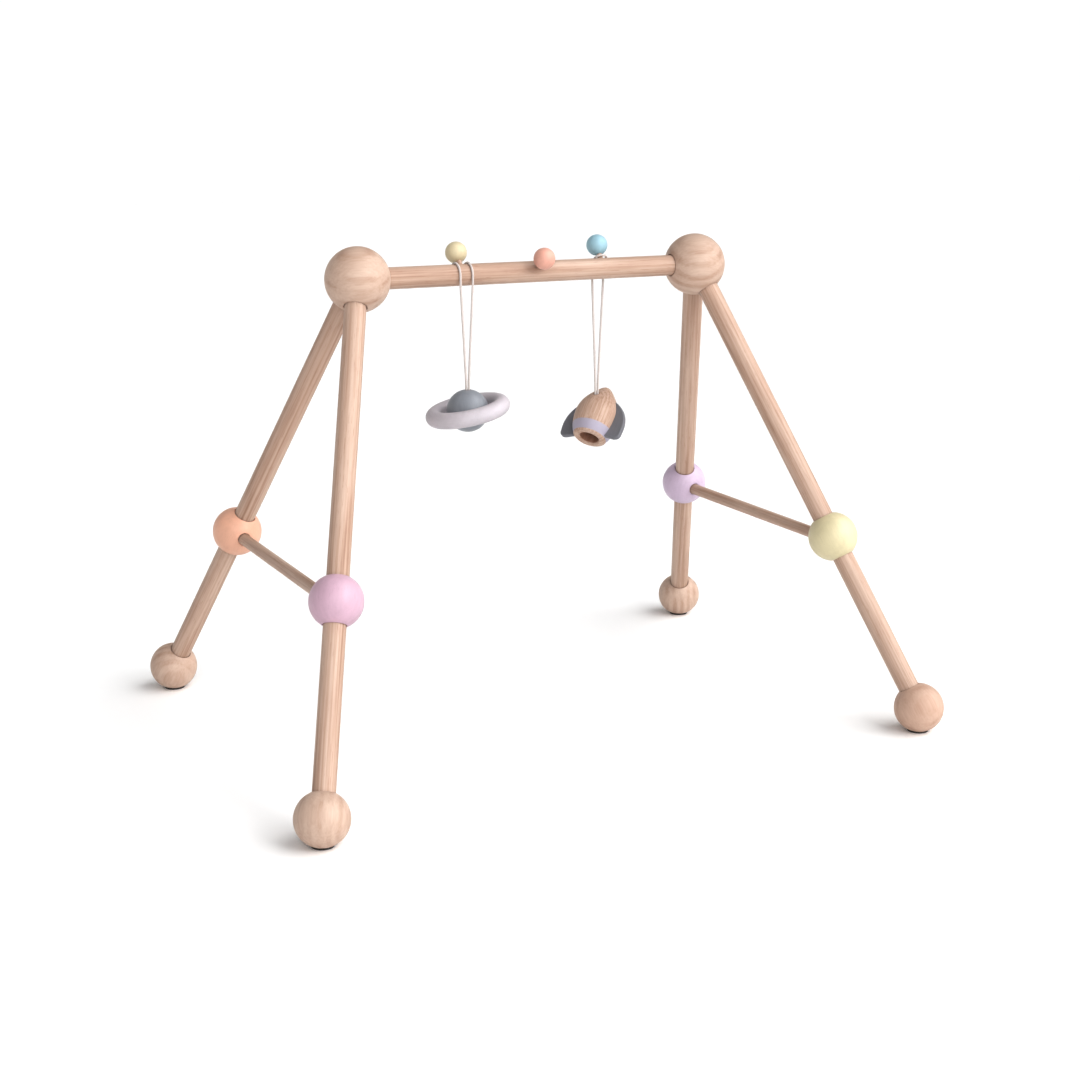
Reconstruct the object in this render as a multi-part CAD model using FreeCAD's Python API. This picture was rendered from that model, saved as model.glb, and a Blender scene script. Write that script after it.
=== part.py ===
"""Wooden baby play gym: two A-frames under a crossbar, with two hanging toys.

Frame: millimetres, +X along the crossbar to the right, -Y to the front, +Z up,
origin on the floor midway between the four feet.
"""
import FreeCAD, Part
import math
import os

V = FreeCAD.Vector

# ---------------------------------------------------------------- dimensions
TOP_BALL_D = 63.0          # ball at each end of the crossbar
TOP_BALL_X = 187.0         # its centre, either side of the middle
TOP_BALL_Z = 458.5
LEG_APEX_Z = 461.5         # where the two leg axes of an A-frame meet
FOOT_BALL_D = 50.0
FOOT_X = 321.0
FOOT_Y = 236.0
FOOT_Z = 24.5              # centre of the foot ball above the floor
MID_BALL_D = 50.0          # painted ball half-way down each leg
MID_SHARE = 0.622          # how far down the leg it sits
LEG_D = 21.0
BAR_D = 21.0
BRACE_D = 12.0
BRACE_DROP = 3.7           # brace axis below the middle of the painted ball
RIM_GAP = 0.8              # relieved rim of each socket, radial
RIM_DEPTH = 2.4            # and how deep it goes, measured below the ball's skin
TENON_D = 12.0             # turned-down tip of a leg inside the top ball
TENON_START = 15.0         # distances from the apex along the leg
SHOULDER_START = 27.0
LEG_END_GAP = 5.0          # leg ends stop this far from a painted ball's middle
FOOT_END_GAP = 8.0         # and this far above the foot ball's middle
BRACE_END_GAP = 12.6       # brace ends stop this far from the painted ball's middle
BAR_END_X = 173.0
STUD_D = 6.0               # double-ended screw between bar and top ball
STUD_IN_BAR = 25.0
STUD_IN_BALL = 9.0
PAD_D = 21.0
PAD_H = 2.0
END_CHAMFER = 0.8

PEG_STEM_D = 5.5
PEG_BEAD_D = 21.5
PEG_LENGTH = 26.0          # bar axis to bead centre
PEG_HOLE = 8.0             # depth of its hole in the bar
# name, position along the bar, lean from the vertical (positive to the back)
PEGS = [("yellow", -77.3, 38.6), ("orange", 0.8, -56.5), ("blue", 78.3, 30.3)]

CORD_D = 2.2
CORD_BORE_D = 6.6
JOIN_GAP = 0.35            # between the bend at the bar and the strand that swings

SATURN_X = -78.6
SATURN_Z = 326.3
SATURN_D = 42.0
SATURN_WELL_D = 11.0       # well under the ball that holds the knot
RING_R = 34.3              # centre line of the ring
RING_TUBE_D = 16.2
RING_NORMAL = V(-0.198, 0.024, 0.98)
RING_PIN_D = 4.0
RING_PIN_CLEAR = 0.08      # radial
RING_PIN_FROM = 14.0       # distances from the ball's middle
RING_PIN_TO = 33.0

ROCKET_X = 78.8
ROCKET_NOSE = V(99.0, 25.3, 330.1)
ROCKET_AXIS = V(-0.553, -0.386, -0.737)    # from nose to tail
FIN_DIRECTION = V(0.524, -0.849, 0.072)    # the second fin is opposite
ROCKET_LENGTH = 62.4
# distance from the nose, radius
ROCKET_PROFILE = [(0.0, 0.0), (0.8, 3.2), (3.0, 6.1), (6.5, 9.1), (12.0, 13.3),
                  (18.0, 17.4), (26.0, 21.2), (34.0, 23.0), (42.0, 23.0),
                  (50.0, 21.8), (58.0, 19.0), (60.9, 17.5), (62.4, 15.4)]
NOZZLE_D = 20.5
NOZZLE_FROM = 33.0
NOZZLE_CONE = 3.0          # the drill point above it
FIN_T = 5.0
FIN_SINK = 3.0             # how deep a fin sits in its slot
# fin outline: distance from the nose, distance from the axis
FIN_OUTLINE = [(17.0, 15.8), (26.0, 27.6), (36.0, 33.8), (45.0, 36.0),
               (54.0, 35.8), (60.0, 34.0), (61.6, 28.0), (59.0, 17.0)]
KNOT_D = 8.0
KNOT_H = 5.0

X, Y, Z = V(1, 0, 0), V(0, 1, 0), V(0, 0, 1)
os.makedirs("parts", exist_ok=True)
made = []


def save(name, shape):
    if len(shape.Solids) == 1:
        shape = shape.Solids[0]
    shape.exportStep("parts/%s.step" % name)
    made.append((name, len(shape.Solids), shape.isValid(), round(shape.Volume, 1)))
    return shape


def unit(v):
    w = V(v)
    w.normalize()
    return w


def rod(start, end, d, chamfer=END_CHAMFER):
    run = end - start
    solid = Part.makeCylinder(d / 2.0, run.Length, start, unit(run))
    if chamfer:
        rims = [e for e in solid.Edges
                if isinstance(e.Curve, Part.Circle)]
        solid = solid.makeChamfer(chamfer, rims)
    return solid


def ball(centre, d):
    return Part.makeSphere(d / 2.0, centre)


def socket(solid, centre, ball_d, inner, outward, d):
    """Bore from `inner` out along `outward`, with a relieved rim at the skin."""
    along = unit(outward)
    solid = solid.cut(Part.makeCylinder(d / 2.0, ball_d, inner, along))
    skin = math.sqrt((ball_d / 2.0) ** 2 - (d / 2.0) ** 2)
    foot = (inner - centre).dot(along)
    side = (inner - centre) - along * foot
    rim_at = centre + side + along * (skin - RIM_DEPTH)
    return solid.cut(Part.makeCylinder(d / 2.0 + RIM_GAP, ball_d, rim_at, along))


# ------------------------------------------------------------------- A-frames
SIDES = [("left", -1), ("right", 1)]
ENDS = [("front", -1), ("back", 1)]
bar_holes = []

for side, sx in SIDES:
    top_c = V(sx * TOP_BALL_X, 0, TOP_BALL_Z)
    apex = V(sx * TOP_BALL_X, 0, LEG_APEX_Z)
    top = ball(top_c, TOP_BALL_D)
    # crossbar's socket and its stud
    top = socket(top, top_c, TOP_BALL_D, V(sx * BAR_END_X, 0, TOP_BALL_Z), V(-sx, 0, 0), BAR_D)
    stud = rod(V(sx * (BAR_END_X - STUD_IN_BAR), 0, TOP_BALL_Z),
               V(sx * (BAR_END_X + STUD_IN_BALL), 0, TOP_BALL_Z), STUD_D, 0.5)
    top = top.cut(Part.makeCylinder(STUD_D / 2.0, 40.0,
                                    V(sx * (BAR_END_X + STUD_IN_BALL), 0, TOP_BALL_Z), V(-sx, 0, 0)))
    bar_holes.append(Part.makeCylinder(STUD_D / 2.0, 60.0,
                                       V(sx * (BAR_END_X - STUD_IN_BAR), 0, TOP_BALL_Z), V(sx, 0, 0)))
    save("crossbar_stud_" + side, stud)

    mids = {}
    for end, sy in ENDS:
        where = "%s_%s" % (end, side)
        foot_c = V(sx * FOOT_X, sy * FOOT_Y, FOOT_Z)
        down = unit(foot_c - apex)
        mid_c = apex + (foot_c - apex) * MID_SHARE
        mids[end] = mid_c

        # upper leg: tenon, shoulder, plain dowel
        upper = rod(apex + down * SHOULDER_START, mid_c - down * LEG_END_GAP, LEG_D)
        tenon = Part.makeCylinder(TENON_D / 2.0, SHOULDER_START - TENON_START + 1.0,
                                  apex + down * TENON_START, down)
        upper = upper.fuse(tenon).removeSplitter()
        save("upper_leg_" + where, upper)
        top = top.cut(Part.makeCylinder(TENON_D / 2.0, 60.0, apex + down * TENON_START, down))
        top = socket(top, top_c, TOP_BALL_D, apex + down * SHOULDER_START, down, LEG_D)

        # painted ball
        mid = ball(mid_c, MID_BALL_D)
        mid = socket(mid, mid_c, MID_BALL_D, mid_c - down * LEG_END_GAP, down * -1, LEG_D)
        mid = socket(mid, mid_c, MID_BALL_D, mid_c + down * LEG_END_GAP, down, LEG_D)
        brace_end = mid_c + V(0, -sy * BRACE_END_GAP, -BRACE_DROP)
        mid = socket(mid, mid_c, MID_BALL_D, brace_end, V(0, -sy, 0), BRACE_D)
        save("mid_ball_" + where, mid)

        # lower leg, foot ball, pad
        lower = rod(mid_c + down * LEG_END_GAP, foot_c - down * FOOT_END_GAP, LEG_D)
        save("lower_leg_" + where, lower)
        foot = ball(foot_c, FOOT_BALL_D)
        foot = socket(foot, foot_c, FOOT_BALL_D, foot_c - down * FOOT_END_GAP, down * -1, LEG_D)
        foot = foot.cut(Part.makeBox(80, 80, 40, foot_c + V(-40, -40, PAD_H - FOOT_Z - 40)))
        save("foot_ball_" + where, foot)
        pad = Part.makeCylinder(PAD_D / 2.0, PAD_H, V(foot_c.x, foot_c.y, 0))
        pad = pad.makeFillet(0.5, [e for e in pad.Edges if isinstance(e.Curve, Part.Circle)
                                   and e.Curve.Center.z < 0.1])
        save("foot_pad_" + where, pad)
    save("top_ball_" + side, top)

    front, back = mids["front"], mids["back"]
    save("brace_" + side, rod(front + V(0, BRACE_END_GAP, -BRACE_DROP),
                              back + V(0, -BRACE_END_GAP, -BRACE_DROP), BRACE_D))

# -------------------------------------------------------------------- crossbar
bar = rod(V(-BAR_END_X, 0, TOP_BALL_Z), V(BAR_END_X, 0, TOP_BALL_Z), BAR_D)
for hole in bar_holes:
    bar = bar.cut(hole)

for colour, px, lean in PEGS:
    a = math.radians(lean)
    out = V(0, math.sin(a), math.cos(a))
    root = V(px, 0, TOP_BALL_Z)
    bead_c = root + out * PEG_LENGTH
    inner, tip = root + out * (BAR_D / 2.0 - PEG_HOLE), bead_c
    stem = rod(inner, tip, PEG_STEM_D, 0.4)
    bar = bar.cut(Part.makeCylinder(PEG_STEM_D / 2.0, 20.0, inner, out))
    bead = ball(bead_c, PEG_BEAD_D).cut(
        Part.makeCylinder(PEG_STEM_D / 2.0, PEG_BEAD_D, bead_c, out * -1))
    save("peg_stem_" + colour, stem)
    save("peg_bead_" + colour, bead)
save("crossbar", bar)

# ----------------------------------------------------------------------- cords
# Each cord is one loop: up from the knot in the toy, over the bar, round the back of
# its peg and down again.  A route point is x, y, z and the radius of the arc at its
# corner; the arcs at the bar have the bar's size and those at the peg the loop's.
WRAP = BAR_D / 2.0 + CORD_D / 2.0
SATURN_ROUTE = [(-79.85, -11.6, 328.9, 0), (-79.85, -11.6, 351.3, 60.0),
                (-84.45, -11.6, 438.5, 0), (-85.2, -11.6, 452.0, 60.0),
                (-85.2, -11.6, 464.93, WRAP), (-85.2, -0.69, 471.75, WRAP),
                (-85.2, 11.33, 465.90, 6.5), (-72.0, 11.33, 465.90, 6.5),
                (-72.0, -0.69, 471.75, WRAP), (-72.0, -11.6, 464.93, WRAP),
                (-72.0, -11.6, 452.0, 60.0), (-72.75, -11.6, 438.5, 0),
                (-77.35, -11.6, 351.3, 60.0), (-77.35, -11.6, 328.9, 0)]
ROCKET_ROUTE = [(77.55, 11.6, 303.4, 0), (77.55, 11.6, 333.6, 60.0),
                (72.79, 11.6, 438.5, 0), (72.2, 11.6, 452.0, 60.0),
                (72.2, 11.6, 463.56, WRAP), (72.2, 3.06, 471.49, 6.5),
                (85.4, 3.06, 471.49, 6.5), (85.4, 11.6, 463.56, WRAP),
                (85.4, 11.6, 452.0, 60.0), (84.81, 11.6, 438.5, 0),
                (80.05, 11.6, 333.6, 60.0), (80.05, 11.6, 303.4, 0)]


def runs(route):
    """Straight runs joined by tangent arcs.  Gives (edges, marks): marks[i] is how
    many edges lie before the middle of the run that leaves route point i."""
    pts = [V(*p[:3]) for p in route]
    edges, marks, here = [], [], pts[0]
    for i in range(1, len(pts) - 1):
        p, radius = pts[i], route[i][3]
        u, w = unit(pts[i - 1] - p), unit(pts[i + 1] - p)
        half = u.getAngle(w) / 2.0
        marks.append(len(edges))
        if radius and half < math.pi / 2 - 1e-4:
            back = radius / math.tan(half)
            t0, t1 = p + u * back, p + w * back
            middle = p + unit(u + w) * (radius / math.sin(half) - radius)
            if (t0 - here).Length > 0.02:
                edges.append(Part.LineSegment(here, t0).toShape())
            else:
                t0 = here
            edges.append(Part.Arc(t0, middle, t1).toShape())
            here = t1
        else:
            edges.append(Part.LineSegment(here, p).toShape())
            here = p
    marks.append(len(edges))
    edges.append(Part.LineSegment(here, pts[-1]).toShape())
    return edges, marks


def cord(edges):
    wire = Part.Wire(edges)
    first = wire.Edges[0]
    start = first.valueAt(first.FirstParameter)
    run = first.tangentAt(first.FirstParameter)
    ring = Part.Wire([Part.makeCircle(CORD_D / 2.0, start, run)])
    return wire.makePipeShell([ring], True, True)


def loop(name, route, bends_from):
    """Saves one loop as strand, bend, hook, bend, strand.  The run that leaves route
    point `bends_from` is where the bend at the bar ends and the hook starts."""
    edges, marks = runs(route)
    last = len(route) - 1
    at_cut = marks[1] + 1                      # the strand ends at route point 2
    at_hook = marks[bends_from]
    strand = edges[:at_cut]
    strand[-1] = Part.LineSegment(strand[-1].Vertexes[0].Point, strand[-1].Vertexes[1].Point
                                  + unit(strand[-1].Vertexes[0].Point - strand[-1].Vertexes[1].Point)
                                  * JOIN_GAP).toShape()
    other_strand = edges[len(edges) - at_cut:]
    top, low = other_strand[0].Vertexes[0].Point, other_strand[0].Vertexes[1].Point
    other_strand[0] = Part.LineSegment(top + unit(low - top) * JOIN_GAP, low).toShape()
    parts = {"strand_left": strand, "cord_bend_left": edges[at_cut:at_hook],
             "cord_hook": edges[at_hook:len(edges) - at_hook],
             "cord_bend_right": edges[len(edges) - at_hook:len(edges) - at_cut],
             "strand_right": other_strand}
    for piece, piece_edges in parts.items():
        save("%s_%s" % (name, piece), cord(piece_edges))
    radii = [round(e.Curve.Radius, 2) for e in edges if isinstance(e.Curve, Part.Circle)]
    print("CORD", name, "length", round(sum(e.Length for e in edges), 1), "mm, radii", radii)
    end = V(*route[0][:3])
    other = V(*route[last][:3])
    centre = (end + other) * 0.5
    knot = Part.makeCylinder(KNOT_D / 2.0, KNOT_H, centre - V(0, 0, KNOT_H))
    knot = knot.makeFillet(1.8, [e for e in knot.Edges if isinstance(e.Curve, Part.Circle)])
    save(name + "_knot", knot)


loop("saturn", SATURN_ROUTE, 4)
loop("rocket", ROCKET_ROUTE, 4)
SATURN_Y, ROCKET_Y = -WRAP, WRAP
ROCKET_KNOT_Z = ROCKET_ROUTE[0][2]
axis = unit(ROCKET_AXIS)


def profile_radius(s):
    for (s0, r0), (s1, r1) in zip(ROCKET_PROFILE, ROCKET_PROFILE[1:]):
        if s0 <= s <= s1:
            return r0 + (r1 - r0) * (s - s0) / (s1 - s0)
    return 0.0


# ---------------------------------------------------------------- Saturn toy
planet_c = V(SATURN_X, SATURN_Y, SATURN_Z)
normal = unit(RING_NORMAL)
pin_dir = unit(Z.cross(normal)) * -1
if pin_dir.y > 0:
    pin_dir = pin_dir * -1
planet = ball(planet_c, SATURN_D)
planet = planet.cut(Part.makeCylinder(CORD_BORE_D / 2.0, 60.0, planet_c, Z))
planet = planet.cut(Part.makeCylinder(SATURN_WELL_D / 2.0, 40.0, planet_c + V(0, 0, 3.0), Z * -1))
ring = Part.makeTorus(RING_R, RING_TUBE_D / 2.0, planet_c, normal)
for end, way in (("front", pin_dir), ("back", pin_dir * -1)):
    start = planet_c + way * RING_PIN_FROM
    stop = planet_c + way * RING_PIN_TO
    pin = rod(start, stop, RING_PIN_D, 0.3)
    planet = planet.cut(Part.makeCylinder(RING_PIN_D / 2.0, 30.0, start, way))
    ring = ring.cut(Part.makeCylinder(RING_PIN_D / 2.0 + RING_PIN_CLEAR,
                                      RING_PIN_TO + 0.3 - 20.0, planet_c + way * 20.0, way))
    save("saturn_ring_pin_" + end, pin)
save("saturn_ball", planet)
save("saturn_ring", ring)
print("ring pin direction", [round(c, 4) for c in pin_dir])

# ---------------------------------------------------------------- Rocket toy
fin_dir = FIN_DIRECTION - axis * FIN_DIRECTION.dot(axis)
fin_dir = unit(fin_dir)
thick_dir = unit(axis.cross(fin_dir))


def at(s, r, t=0.0):
    return ROCKET_NOSE + axis * s + fin_dir * r + thick_dir * t


curve = Part.BSplineCurve()
curve.interpolate([at(s, r) for s, r in ROCKET_PROFILE[:-2]])
outline = [curve.toShape(),
           Part.LineSegment(at(*ROCKET_PROFILE[-3]), at(*ROCKET_PROFILE[-2])).toShape(),
           Part.LineSegment(at(*ROCKET_PROFILE[-2]), at(*ROCKET_PROFILE[-1])).toShape(),
           Part.LineSegment(at(*ROCKET_PROFILE[-1]), at(ROCKET_LENGTH, 0)).toShape(),
           Part.LineSegment(at(ROCKET_LENGTH, 0), at(0, 0)).toShape()]
face = Part.Face(Part.Wire(outline))
body = face.revolve(ROCKET_NOSE, axis, 360.0)
if not body.Solids:
    body = Part.Solid(body)
nozzle = Part.makeCylinder(NOZZLE_D / 2.0, ROCKET_LENGTH - NOZZLE_FROM + 5.0,
                           at(NOZZLE_FROM, 0), axis)
cone = Part.makeCone(0.6, NOZZLE_D / 2.0, NOZZLE_CONE, at(NOZZLE_FROM - NOZZLE_CONE, 0), axis)
lip = Part.makeCone(NOZZLE_D / 2.0, NOZZLE_D / 2.0 + 1.4, 1.4, at(ROCKET_LENGTH - 1.4, 0), axis)
body = body.cut(nozzle).cut(cone).cut(lip)
body = body.cut(Part.makeCylinder(CORD_BORE_D / 2.0, 60.0,
                                  V(ROCKET_X, ROCKET_Y, ROCKET_KNOT_Z - 1.0), Z))

fins = []
for name, way in (("front", 1), ("back", -1)):
    pts = [at(s, way * r, -FIN_T / 2.0) for s, r in FIN_OUTLINE]
    edge = Part.BSplineCurve()
    edge.interpolate(pts[:5])
    corner = Part.BSplineCurve()
    corner.interpolate(pts[4:7])
    inner = [at(s, way * (profile_radius(s) - FIN_SINK), -FIN_T / 2.0) for s in (59.0, 50.0, 40.0, 30.0, 20.0)]
    path = [edge.toShape(), corner.toShape(),
            Part.LineSegment(pts[6], inner[0]).toShape()]
    for p, q in zip(inner, inner[1:]):
        path.append(Part.LineSegment(p, q).toShape())
    path.append(Part.LineSegment(inner[-1], pts[0]).toShape())
    fin = Part.Face(Part.Wire(path)).extrude(thick_dir * FIN_T)
    rims = []
    for e in fin.Edges:
        c = e.CenterOfMass - ROCKET_NOSE
        r = way * c.dot(fin_dir)
        s = c.dot(axis)
        flat = abs(abs(c.dot(thick_dir)) - FIN_T / 2.0) < 0.01
        if flat and r > profile_radius(min(max(s, 0), ROCKET_LENGTH)) + 3.5:
            rims.append(e)
    try:
        rounded = fin.makeFillet(1.4, rims)
        if rounded.isValid():
            fin = rounded
    except Exception as err:
        print("fin edges left square:", err)
    fins.append((name, fin))
for name, fin in fins:
    body = body.cut(fin)
for name, fin in fins:
    save("rocket_fin_" + name, fin)
body = save("rocket_body", body)
print("lowest point of the rocket", round(min([body.BoundBox.ZMin] + [f.BoundBox.ZMin for n, f in fins]), 1))

masses = [(body, body.Volume)] + [(f, f.Volume) for n, f in fins]
total = sum(m for b, m in masses)
cg = V(0, 0, 0)
for b, m in masses:
    solid = b.Solids[0]
    cg = cg + solid.CenterOfMass * (m / total)
print("rocket centre of mass", [round(c, 2) for c in cg], "hangs at", ROCKET_X, ROCKET_Y)
bad = [m for m in made if m[1] != 1 or not m[2]]
print(len(made), "nodes; bad:", bad)
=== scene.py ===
import bpy
import math
from mathutils import Matrix, Vector


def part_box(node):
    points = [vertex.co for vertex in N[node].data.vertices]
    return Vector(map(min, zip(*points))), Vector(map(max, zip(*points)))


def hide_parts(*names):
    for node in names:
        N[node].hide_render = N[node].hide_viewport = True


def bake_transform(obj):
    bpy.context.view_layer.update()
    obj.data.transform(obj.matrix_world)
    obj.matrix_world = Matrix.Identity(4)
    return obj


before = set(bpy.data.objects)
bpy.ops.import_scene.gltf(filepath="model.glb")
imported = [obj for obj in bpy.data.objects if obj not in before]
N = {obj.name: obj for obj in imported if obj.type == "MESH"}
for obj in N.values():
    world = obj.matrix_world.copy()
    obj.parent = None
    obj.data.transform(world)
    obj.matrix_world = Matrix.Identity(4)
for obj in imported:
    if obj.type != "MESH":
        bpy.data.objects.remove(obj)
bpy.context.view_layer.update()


def centre(node):
    lo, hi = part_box(node)
    return (Vector(lo) + Vector(hi)) / 2


# ------------------------------------------------------------------- camera
CAM_AT = Vector((-0.7900, -1.5807, 0.6272))
CAM_AZIMUTH, CAM_DOWN, CAM_ROLL = math.radians(26.77), math.radians(14.11), math.radians(0.10)
look = Vector((math.sin(CAM_AZIMUTH) * math.cos(CAM_DOWN),
               math.cos(CAM_AZIMUTH) * math.cos(CAM_DOWN), -math.sin(CAM_DOWN)))
cam = bpy.data.objects.new("camera", bpy.data.cameras.new("camera"))
bpy.context.collection.objects.link(cam)
cam.location = CAM_AT
turn = look.to_track_quat("-Z", "Y").to_matrix() @ Matrix.Rotation(CAM_ROLL, 3, "Z")
cam.rotation_euler = turn.to_euler()
cam.data.lens, cam.data.sensor_width = 58.77, 36.0
cam.data.clip_start, cam.data.clip_end = 0.05, 40.0
bpy.context.scene.camera = cam

# ------------------------------------------------------------------- lights
DISPLAY_GAMMA = 0.72                 # keeps white white and deepens the shade
HORIZON, CEILING = 1.03, 0.38        # brightness of the sky low down and overhead
CEILING_FROM, CEILING_TO = 0.10, 0.50    # sine of the height where it fades
scene = bpy.context.scene
scene.view_settings.view_transform = "Standard"
scene.view_settings.gamma = DISPLAY_GAMMA
world = bpy.data.worlds.new("studio")
scene.world = world
world.use_nodes = True
sky = world.node_tree
background = sky.nodes["Background"]
direction = sky.nodes.new("ShaderNodeTexCoord").outputs["Generated"]
height = sky.nodes.new("ShaderNodeSeparateXYZ")
sky.links.new(direction, height.inputs[0])
# white round the horizon, a darker ceiling overhead
dim = sky.nodes.new("ShaderNodeMapRange")
for socket, value in (("From Min", CEILING_FROM), ("From Max", CEILING_TO),
                      ("To Min", HORIZON), ("To Max", CEILING)):
    dim.inputs[socket].default_value = value
sky.links.new(height.outputs["Z"], dim.inputs["Value"])
sky.links.new(dim.outputs[0], background.inputs["Strength"])
background.inputs["Color"].default_value = (1.0, 1.0, 1.0, 1)


def sun(name, towards_light, strength, spread):
    lamp = bpy.data.lights.new(name, "SUN")
    lamp.energy, lamp.angle = strength, math.radians(spread)
    o = bpy.data.objects.new(name, lamp)
    bpy.context.collection.objects.link(o)
    o.rotation_euler = Vector(towards_light).to_track_quat("Z", "Y").to_euler()


def softbox(name, at, towards, size, power):
    """A small studio lamp: it mostly gives a glint on the paint."""
    lamp = bpy.data.lights.new(name, "AREA")
    lamp.shape, lamp.size, lamp.energy = "SQUARE", size, power
    o = bpy.data.objects.new(name, lamp)
    bpy.context.collection.objects.link(o)
    o.location = at
    o.rotation_euler = (Vector(towards) - Vector(at)).to_track_quat("-Z", "Y").to_euler()


sun("key", (0.80, -0.42, 0.95), 1.9, 60)
sun("front", (0.10, -0.88, 0.50), 1.5, 75)
softbox("glint_right", (0.55, -2.1, 1.35), (0, 0, 0.25), 0.50, 8)
softbox("glint_left", (-1.30, -1.9, 1.45), (0, 0, 0.25), 0.50, 5)


# ---------------------------------------------------------------- materials
class Nodes:
    """A short way to write node trees."""

    def __init__(self, name):
        self.mat = bpy.data.materials.new(name)
        self.mat.use_nodes = True
        self.tree = self.mat.node_tree
        self.shader = self.tree.nodes["Principled BSDF"]

    def new(self, kind, inputs=None, **props):
        n = self.tree.nodes.new(kind)
        for k, v in props.items():
            setattr(n, k, v)
        for k, v in (inputs or {}).items():
            self.put(n.inputs[k], v)
        return n

    def put(self, socket, v):
        if isinstance(v, bpy.types.NodeSocket):
            self.tree.links.new(v, socket)
        else:
            socket.default_value = v

    def math(self, op, a, b=0.0, clamp=False):
        return self.new("ShaderNodeMath", {0: a, 1: b}, operation=op, use_clamp=clamp).outputs[0]

    def mix(self, f, a, b, blend="MIX"):
        n = self.new("ShaderNodeMix", data_type="RGBA", blend_type=blend)
        self.put(n.inputs["Factor"], f)
        self.put(n.inputs["A"], a)
        self.put(n.inputs["B"], b)
        return n.outputs["Result"]

    def span(self, v, a, b, c=0.0, d=1.0, smooth=True):
        return self.new("ShaderNodeMapRange", {"Value": v, "From Min": a, "From Max": b,
                                               "To Min": c, "To Max": d}, clamp=True,
                        interpolation_type="SMOOTHSTEP" if smooth else "LINEAR").outputs[0]

    def noise(self, vector, scale, detail=3.0, rough=0.5):
        return self.new("ShaderNodeTexNoise", {"Vector": vector, "Scale": scale, "Detail": detail,
                                               "Roughness": rough}).outputs["Fac"]

    def vector(self, op, a, b=None):
        n = self.new("ShaderNodeVectorMath", {0: a}, operation=op)
        if b is not None:
            self.put(n.inputs["Scale" if op == "SCALE" else 1], b)
        return n.outputs["Value" if op in ("LENGTH", "DOT_PRODUCT") else 0]

    def stretch(self, vector, sx, sy, sz):
        return self.vector("MULTIPLY", vector, (sx, sy, sz))

    def grain_space(self, along, at, seed):
        """Coordinates with the grain along Z, the piece near the middle, moved by a seed."""
        turn = Vector(along).normalized().rotation_difference(Vector((0, 0, 1)))
        spot = turn @ Vector(at)
        place = self.new("ShaderNodeTexCoord").outputs["Object"]
        shift = Vector((0.37 * seed, 0.23 * seed, 0.61 * seed))
        return self.new("ShaderNodeMapping", {"Vector": place, "Location": shift - spot,
                                              "Rotation": turn.to_euler()}).outputs[0], shift

    def bump(self, height, strength, distance):
        n = self.new("ShaderNodeBump", {"Height": height, "Strength": strength,
                                        "Distance": distance})
        return n.outputs["Normal"]


RING_WANDER = 0.0064                 # how far the growth rings stray, in metres
LIGHT_WOOD, MID_WOOD = (0.575, 0.450, 0.375, 1), (0.465, 0.330, 0.260, 1)
DARK_WOOD, PORE_WOOD = (0.315, 0.195, 0.138, 1), (0.33, 0.175, 0.115, 1)
# the last colour is for inside the nozzle bore: darker end grain with painted shade of the hollow
WARM_WOOD, BORE_GRAIN_AND_SHADE = (0.60, 0.34, 0.235, 1), (0.36, 0.150, 0.085, 1)


def grain(n, along, at, seed, pith, ring_gap=0.0042):
    """Growth rings, streaks, blotches and pores of one turned piece, each 0 to 1."""
    space, shift = n.grain_space(along, at, seed)
    slow = n.stretch(space, 1, 1, 0.16)
    warp = n.new("ShaderNodeTexNoise",
                 {"Vector": slow, "Scale": 30.0, "Detail": 2.0}).outputs["Color"]
    warp = n.vector("SCALE", n.vector("SUBTRACT", warp, (0.5, 0.5, 0.5)), RING_WANDER)
    bent = n.vector("ADD", space, warp)
    from_pith = n.vector("SUBTRACT", bent, shift + Vector((pith[0], pith[1], 0)))
    far = n.vector("LENGTH", n.stretch(from_pith, 1, 1, 0.01))
    rings = n.span(n.math("SINE", n.math("MULTIPLY", far, 2 * math.pi / ring_gap)), -0.9, 1.0)
    patches = n.span(n.noise(n.stretch(bent, 1, 1, 0.15), 60.0, 2.0), 0.32, 0.68)
    rings = n.math("MULTIPLY", rings, patches)
    streaks = n.noise(n.stretch(space, 1, 1, 0.012), 560.0, 4.0, 0.62)
    blotches = n.noise(n.stretch(bent, 1, 1, 0.10), 70.0, 3.0, 0.55)
    pores = n.span(n.noise(n.stretch(space, 1, 1, 0.05), 1500.0, 2.0, 0.5), 0.60, 0.72)
    return rings, streaks, blotches, pores


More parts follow.
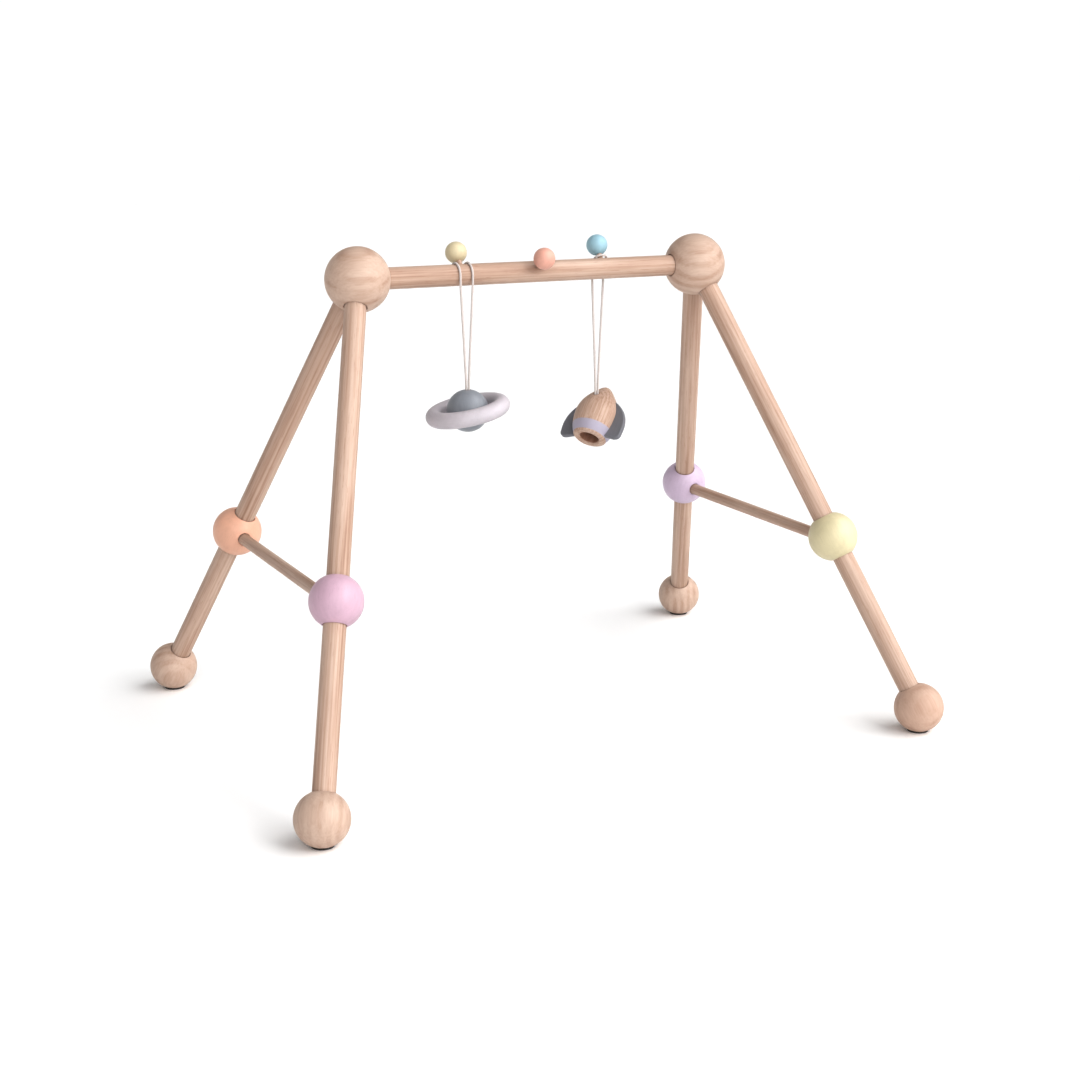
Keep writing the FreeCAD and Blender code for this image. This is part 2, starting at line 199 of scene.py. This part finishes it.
def wood(name, along, at, seed, pith=(0.05, 0.03), warm=0.0, contrast=1.0, gap=0.0042,
         calm=0.0):
    """Bare beech. `pith` is where the tree's middle lies from the piece, across the
    grain, `contrast` deepens the rings and `calm` softens streaks and pores."""
    n = Nodes(name)
    rings, streaks, blotches, pores = grain(n, along, at, seed, pith, gap)
    tone = n.math("ADD", n.math("MULTIPLY", rings, 0.22 * contrast),
                  n.math("MULTIPLY", n.span(streaks, 0.3, 0.75), 0.42 - 0.22 * calm))
    tone = n.math("ADD", tone,
                  n.math("MULTIPLY", n.span(blotches, 0.25, 0.75), 0.36 - 0.14 * calm))
    ramp = n.new("ShaderNodeValToRGB", {"Fac": tone})
    e = ramp.color_ramp.elements
    e[0].position, e[0].color = 0.10, LIGHT_WOOD
    e[1].position, e[1].color = 1.0, DARK_WOOD
    mid = e.new(0.55)
    mid.color = MID_WOOD
    colour = n.mix(n.math("MULTIPLY", pores, 0.42 - 0.26 * calm), ramp.outputs["Color"],
                   PORE_WOOD)
    if warm:
        colour = n.mix(warm, colour, WARM_WOOD)
    n.put(n.shader.inputs["Base Color"], colour)
    n.put(n.shader.inputs["Roughness"], n.span(streaks, 0.2, 0.8, 0.40, 0.56, False))
    height = n.math("SUBTRACT", n.math("MULTIPLY", streaks, 0.5), n.math("MULTIPLY", pores, 0.9))
    n.put(n.shader.inputs["Normal"], n.bump(height, 0.35, 0.00012))
    return n


def painted(name, colour, along, at, seed, deep=0.86, rough=0.38):
    """Thin satin paint: the grain shows through as relief and a faint change of tone."""
    n = Nodes(name)
    rings, streaks, blotches, pores = grain(n, along, at, seed, (0.04, 0.02), 0.0048)
    darker = tuple(deep * k for k in colour) + (1,)
    in_pores = tuple(0.55 * k for k in colour) + (1,)
    tone = n.math("ADD", n.math("MULTIPLY", rings, 0.16),
                  n.math("MULTIPLY", n.span(blotches, 0.3, 0.7), 0.55))
    tone = n.math("ADD", tone, n.math("MULTIPLY", n.span(streaks, 0.35, 0.8), 0.25))
    base = n.mix(tone, (*colour, 1), darker)
    base = n.mix(n.math("MULTIPLY", pores, 0.22), base, in_pores)
    n.put(n.shader.inputs["Base Color"], base)
    n.put(n.shader.inputs["Roughness"],
          n.span(blotches, 0.25, 0.75, rough - 0.05, rough + 0.09, False))
    height = n.math("SUBTRACT", n.math("MULTIPLY", rings, 0.35), n.math("MULTIPLY", pores, 0.6))
    n.put(n.shader.inputs["Normal"], n.bump(height, 0.25, 0.00012))
    return n


def rubber(name):
    n = Nodes(name)
    place = n.new("ShaderNodeTexCoord").outputs["Object"]
    fine, broad = n.noise(place, 1400.0, 3.0), n.noise(place, 160.0, 2.0)
    n.put(n.shader.inputs["Base Color"],
          n.mix(broad, (0.045, 0.040, 0.038, 1), (0.085, 0.076, 0.070, 1)))
    n.put(n.shader.inputs["Roughness"], n.span(fine, 0.3, 0.7, 0.62, 0.85, False))
    n.put(n.shader.inputs["Normal"], n.bump(fine, 0.4, 0.0001))
    return n


def steel(name, along, at):
    n = Nodes(name)
    space, _ = n.grain_space(along, at, 1)
    turned = n.noise(n.stretch(space, 0.1, 0.1, 1), 4200.0, 2.0)
    n.shader.inputs["Metallic"].default_value = 1.0
    n.put(n.shader.inputs["Base Color"],
          n.mix(turned, (0.50, 0.50, 0.52, 1), (0.68, 0.68, 0.69, 1)))
    n.put(n.shader.inputs["Roughness"], n.span(turned, 0.3, 0.7, 0.24, 0.40, False))
    n.put(n.shader.inputs["Normal"], n.bump(turned, 0.2, 0.00004))
    return n


def cotton(name):
    n = Nodes(name)
    place = n.new("ShaderNodeTexCoord").outputs["Object"]
    fibre, lint = n.noise(n.stretch(place, 1, 1, 0.35), 3800.0, 3.0), n.noise(place, 240.0, 2.0)
    n.put(n.shader.inputs["Base Color"],
          n.mix(lint, (0.61, 0.565, 0.545, 1), (0.53, 0.485, 0.465, 1)))
    n.put(n.shader.inputs["Roughness"], n.span(fibre, 0.3, 0.7, 0.72, 0.92, False))
    n.shader.inputs["Sheen Weight"].default_value = 0.25
    n.put(n.shader.inputs["Normal"], n.bump(fibre, 0.5, 0.00012))
    return n


def dress(node, n):
    o = N[node]
    o.data.materials.clear()
    o.data.materials.append(n.mat)


# -------------------------------------------------------------- frame pieces
MID_PAINT = {"back_left": (0.75, 0.47, 0.355), "front_left": (0.61, 0.44, 0.52),
             "back_right": (0.61, 0.51, 0.62), "front_right": (0.69, 0.625, 0.44)}
PEG_PAINT = {"yellow": (0.66, 0.585, 0.42), "orange": (0.70, 0.42, 0.345),
             "blue": (0.37, 0.54, 0.61)}
TOP_GRAIN = dict(pith=(0.09, 0.01), contrast=1.5, gap=0.0105, calm=1.0)
FOOT_GRAIN = dict(pith=(0.05, -0.02), contrast=1.3, gap=0.0085, calm=1.0)
REDDISH = {"front_right": 0.18}      # one foot ball is turned from redder wood


def dress_leg(spot, top, seed):
    """One leg: its two dowels, painted ball, foot ball and pad. `spot` is end_side."""
    foot = centre("foot_ball_" + spot)
    run = foot - top
    dress("upper_leg_" + spot,
          wood("upper_wood_" + spot, run, centre("upper_leg_" + spot), seed, (0.03, 0.06)))
    dress("lower_leg_" + spot,
          wood("lower_wood_" + spot, run, centre("lower_leg_" + spot), seed + 1, (-0.05, 0.02)))
    dress("foot_ball_" + spot, wood("foot_wood_" + spot, run, foot, seed + 2,
                                    warm=REDDISH.get(spot, 0.0), **FOOT_GRAIN))
    dress("mid_ball_" + spot, painted("mid_paint_" + spot, MID_PAINT[spot], run,
                                      centre("mid_ball_" + spot), seed + 5))
    dress("foot_pad_" + spot, rubber("pad_rubber_" + spot))


seed = 1
dress("crossbar", wood("bar_wood", (1, 0, 0), centre("crossbar"), 2, (0.03, 0.05)))
for side in ("left", "right"):
    top = centre("top_ball_" + side)
    seed += 1
    dress("top_ball_" + side,
          wood("top_wood_" + side, (0.95, -0.3, 0.06), top, seed, **TOP_GRAIN))
    dress("brace_" + side,
          wood("brace_wood_" + side, (0, 1, 0), centre("brace_" + side), seed + 20))
    dress("crossbar_stud_" + side, steel("stud_steel_" + side, (1, 0, 0), top))
    for end in ("front", "back"):
        seed += 3
        dress_leg(end + "_" + side, top, seed)
for colour, paint in PEG_PAINT.items():
    bead = centre("peg_bead_" + colour)
    lean = bead - Vector((bead.x, 0, centre("crossbar").z))
    seed += 2
    dress("peg_bead_" + colour, painted("peg_paint_" + colour, paint, lean, bead, seed))
    dress("peg_stem_" + colour, wood("peg_wood_" + colour, lean, bead, seed + 1))

# ---------------------------------------------------------------------- toys
GREY, PALE_LILAC, SLATE = (0.30, 0.315, 0.345), (0.545, 0.51, 0.54), (0.225, 0.225, 0.245)
planet = centre("saturn_ring")
dress("saturn_ball", painted("planet_paint", GREY, (0.2, 0.3, 1), planet, 7, 0.82, 0.33))
dress("saturn_ring", painted("ring_paint", PALE_LILAC, (0.2, 0.9, 0.1), planet, 9, 0.88, 0.55))
for end in ("front", "back"):
    dress("saturn_ring_pin_" + end, steel("pin_steel_" + end, (0.12, 0.993, 0), planet))

# The rocket: its nose, the way to its tail, and distances from the nose along it.
NOSE = Vector((0.0990, 0.0253, 0.3301))
TAIL_WAY = Vector((-0.553, -0.386, -0.737)).normalized()
BAND_FROM, BAND_TO = 0.0510, 0.0605
BAND_EDGE = 0.0003                   # how soft the edge of the paint is
BAND_INSIDE = 0.0128                 # the paint stops this close to the axis
BORE_FROM, BORE_FULL = 0.026, 0.030
BORE_R = 0.0100
BAND_PAINT = ((0.46, 0.43, 0.50, 1), (0.40, 0.37, 0.44, 1))


def add_band_and_bore_shade(n):
    """Adds the painted band round the rocket and darkens the inside of its nozzle:
    darker unsanded end grain, deepened with painted shade of the hollow."""
    place = n.new("ShaderNodeTexCoord").outputs["Object"]
    off = n.vector("SUBTRACT", place, NOSE)
    wobble = n.math("MULTIPLY", n.noise(place, 300.0), 0.0005)
    s = n.math("ADD", n.vector("DOT_PRODUCT", off, TAIL_WAY), wobble)
    side = n.vector("SUBTRACT", off, n.vector("SCALE", TAIL_WAY, s))
    far = n.vector("LENGTH", side)
    on = n.math("MULTIPLY", n.span(s, BAND_FROM, BAND_FROM + BAND_EDGE),
                n.span(s, BAND_TO, BAND_TO + BAND_EDGE, 1, 0))
    on = n.math("MULTIPLY", on, n.span(far, BAND_INSIDE, BAND_INSIDE + 0.0004))
    # mask of the inside of the bore, where painted shade darkens the end grain
    bore_grain_and_shade_mask = n.math("MULTIPLY", n.span(far, BORE_R, BORE_R + 0.0006, 1, 0),
                   n.span(s, BORE_FROM, BORE_FULL))
    bare = n.shader.inputs["Base Color"].links[0].from_socket
    # painted shade of the hollow laid over the darker end grain inside the bore
    bare = n.mix(n.math("MULTIPLY", bore_grain_and_shade_mask, 0.7), bare, BORE_GRAIN_AND_SHADE)
    n.put(n.shader.inputs["Base Color"], n.mix(on, bare, n.mix(n.noise(place, 90.0), *BAND_PAINT)))


rocket = wood("rocket_wood", TAIL_WAY, centre("rocket_body"), 11, (0.02, 0.012), contrast=1.2)
add_band_and_bore_shade(rocket)
dress("rocket_body", rocket)
for end in ("front", "back"):
    dress("rocket_fin_" + end, painted("fin_paint_" + end, SLATE, TAIL_WAY,
                                       centre("rocket_fin_" + end), 13, 0.84, 0.5))

# --------------------------------------------------------------------- cords
CORD_D = 0.0022
SATURN_ROUTE = [
    (-0.07985, -0.0116, 0.3289), (-0.07985, -0.0116, 0.3513), (-0.0810, -0.0116, 0.3720),
    (-0.08445, -0.0116, 0.4385), (-0.0852, -0.0116, 0.4520), (-0.0852, -0.0116, 0.46493),
    (-0.0852, -0.00069, 0.47175), (-0.0852, 0.01133, 0.46590), (-0.0720, 0.01133, 0.46590),
    (-0.0720, -0.00069, 0.47175), (-0.0720, -0.0116, 0.46493), (-0.0720, -0.0116, 0.4520),
    (-0.07275, -0.0116, 0.4385), (-0.0762, -0.0116, 0.3720), (-0.07735, -0.0116, 0.3513),
    (-0.07735, -0.0116, 0.3289)]
ROCKET_ROUTE = [
    (0.07755, 0.0116, 0.3034), (0.07755, 0.0116, 0.3336), (0.0764, 0.0116, 0.3600),
    (0.07279, 0.0116, 0.4385), (0.0722, 0.0116, 0.4520), (0.0722, 0.0116, 0.46356),
    (0.0722, 0.00306, 0.47149), (0.0854, 0.00306, 0.47149), (0.0854, 0.0116, 0.46356),
    (0.0854, 0.0116, 0.4520), (0.08481, 0.0116, 0.4385), (0.0812, 0.0116, 0.3600),
    (0.08005, 0.0116, 0.3336), (0.08005, 0.0116, 0.3034)]


def centreline(name, route):
    """Points read from the NURBS spline that the route controls."""
    curve = bpy.data.curves.new(name + "_line", "CURVE")
    curve.dimensions, curve.resolution_u = "3D", 48
    spline = curve.splines.new("NURBS")
    spline.points.add(len(route) - 1)
    for p, q in zip(spline.points, route):
        p.co = (*q, 1.0)
    spline.order_u, spline.use_endpoint_u = 3, True
    o = bpy.data.objects.new(name + "_line", curve)
    bpy.context.collection.objects.link(o)
    bpy.context.view_layer.update()
    mesh = bpy.data.meshes.new_from_object(o)
    points = [Vector(v.co) for v in mesh.vertices]
    bpy.data.objects.remove(o)
    bpy.data.meshes.remove(mesh)
    return points


def twisted(name, points, strands=3, turns_per_m=260.0, around=18, step=0.0004):
    """A laid cord: a lobed section that turns as it follows the points."""
    line, carry = [points[0]], 0.0
    for a, b in zip(points, points[1:]):
        length = (b - a).length
        while carry + length >= step:
            t = (step - carry) / length
            a = a.lerp(b, t)
            line.append(a)
            length, carry = (b - a).length, 0.0
        carry += length
    verts, faces, twist = [], [], 0.0
    run = (line[1] - line[0]).normalized()
    side = run.orthogonal().normalized()
    for i, p in enumerate(line):
        ahead = line[min(i + 1, len(line) - 1)] - line[max(i - 1, 0)]
        ahead.normalize()
        side = (run.rotation_difference(ahead) @ side).normalized()
        run = ahead
        up = run.cross(side)
        twist += step * turns_per_m * 2 * math.pi
        for k in range(around):
            a = 2 * math.pi * k / around
            lobe = abs(math.cos(strands * (a - twist) / 2))
            r = CORD_D / 2 * (0.94 + 0.12 * lobe ** 0.7)
            verts.append(p + (side * math.cos(a) + up * math.sin(a)) * r)
        if i:
            base = (i - 1) * around
            for k in range(around):
                j = (k + 1) % around
                faces.append((base + k, base + j, base + around + j, base + around + k))
    faces.append(tuple(reversed(range(around))))
    faces.append(tuple(range(len(verts) - around, len(verts))))
    mesh = bpy.data.meshes.new(name)
    mesh.from_pydata([tuple(v) for v in verts], [], faces)
    mesh.update()
    mesh.shade_smooth()
    o = bpy.data.objects.new(name, mesh)
    bpy.context.collection.objects.link(o)
    return o


cord_look = cotton("cord_cotton")
for toy, route in (("saturn", SATURN_ROUTE), ("rocket", ROCKET_ROUTE)):
    points = centreline(toy, route)
    o = twisted(toy + "_cord_loop", points)
    o.data.materials.append(cord_look.mat)
    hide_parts(toy + "_cord_hook", toy + "_cord_bend_left", toy + "_cord_bend_right",
                toy + "_strand_left", toy + "_strand_right")
    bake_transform(o)
    dress(toy + "_knot", cord_look)

for node in N.values():
    node.data.shade_smooth()

# --------------------------------------------------------------------- stage
FLOOR_REACH = 9.0
floor_mesh = bpy.data.meshes.new("floor")
floor_mesh.from_pydata([(x * FLOOR_REACH, y * FLOOR_REACH, 0)
                        for x, y in ((-1, -1), (1, -1), (1, 1), (-1, 1))], [], [(0, 1, 2, 3)])
floor = bpy.data.objects.new("floor", floor_mesh)
bpy.context.collection.objects.link(floor)
paper = Nodes("floor_paper")
paper.shader.inputs["Base Color"].default_value = (0.95, 0.95, 0.95, 1)
paper.shader.inputs["Roughness"].default_value = 0.9
floor.data.materials.append(paper.mat)
